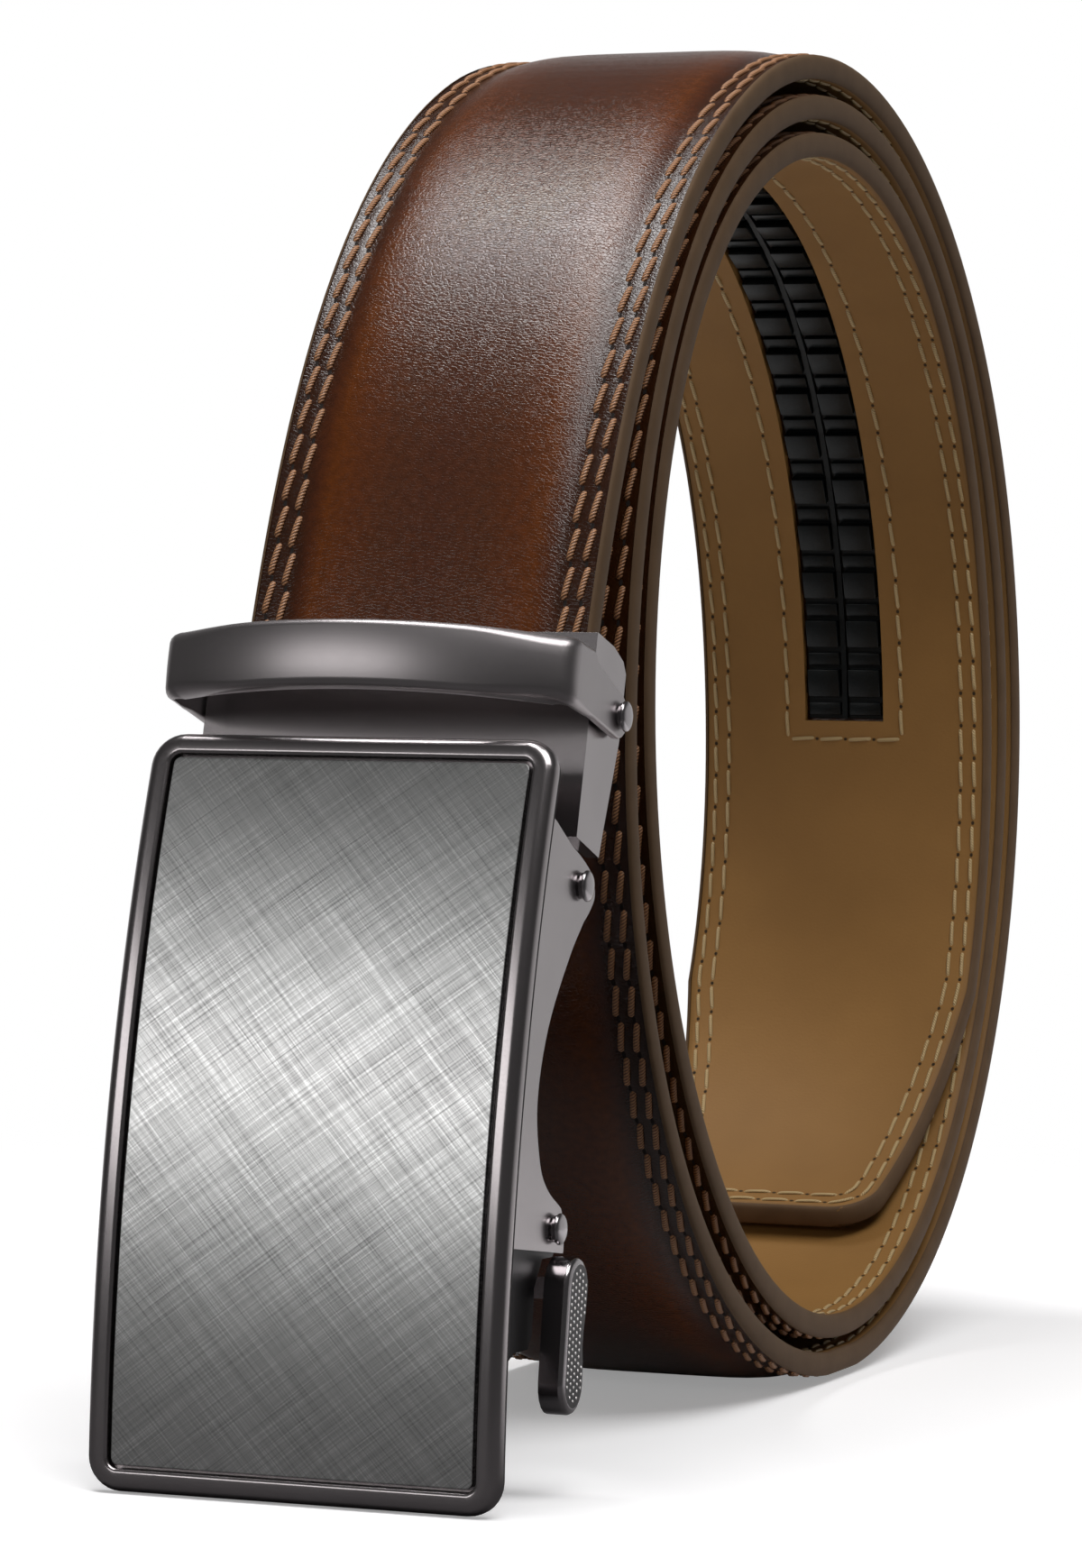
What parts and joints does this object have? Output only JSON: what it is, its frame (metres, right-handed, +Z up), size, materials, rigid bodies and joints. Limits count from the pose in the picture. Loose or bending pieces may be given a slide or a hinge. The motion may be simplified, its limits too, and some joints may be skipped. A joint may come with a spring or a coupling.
{
  "type": "ratchet belt",
  "caption": "Coiled leather ratchet belt: padded stitched strap with a toothed track in its lining, and a sprung plate buckle with keeper loop and release lever.",
  "frame": {"origin": "middle of the whole belt's bounding box, on the surface that the coil and the plate's lower end stand on", "axes": "+X across the strap, towards the release lever's side; the buckle's plate faces -Y and the coil lies behind it; +Z is up"},
  "size_m": [0.043, 0.1776, 0.1412],
  "materials": {
    "leather": "polished, burnished brown with lighter margins",
    "lining": "matt tan",
    "track": "moulded black",
    "gunmetal": "satin gunmetal plating",
    "brushed": "cross-brushed grey"
  },
  "bodies": {
    "belt": {"strap_leather": "leather", "strap_lining": "lining", "ratchet_track": "track", "clamp_bracket": "gunmetal", "clamp_plate": "gunmetal", "hinge_rivet_right": "gunmetal", "hinge_rivet_left": "gunmetal", "keeper_rivet_right": "gunmetal", "keeper_rivet_left": "gunmetal"},
    "face": {"face_frame": "gunmetal", "face_inlay": "brushed", "pawl_pin": "gunmetal"},
    "keeper": {"keeper_loop": "gunmetal"},
    "pawl_lever": {"pawl": "gunmetal", "release_lever": "gunmetal"}
  },
  "joints": [
    {"name": "face_hinge", "type": "hinge", "parent": "belt", "child": "face", "pos_m": [0, -0.06747, 0.05533], "axis": [1, 0, 0], "range_deg": [0, 35]},
    {"name": "keeper_hinge", "type": "hinge", "parent": "belt", "child": "keeper", "pos_m": [0, -0.06105, 0.07091], "axis": [1, 0, 0], "range_deg": [-45, 0]},
    {"name": "lever_pivot", "type": "hinge", "parent": "face", "child": "pawl_lever", "pos_m": [0, -0.07329, 0.02434], "axis": [1, 0, 0], "range_deg": [-15, 0], "stiffness_Nm_per_rad": 0.1, "springref_deg": 5.73}
  ]
}
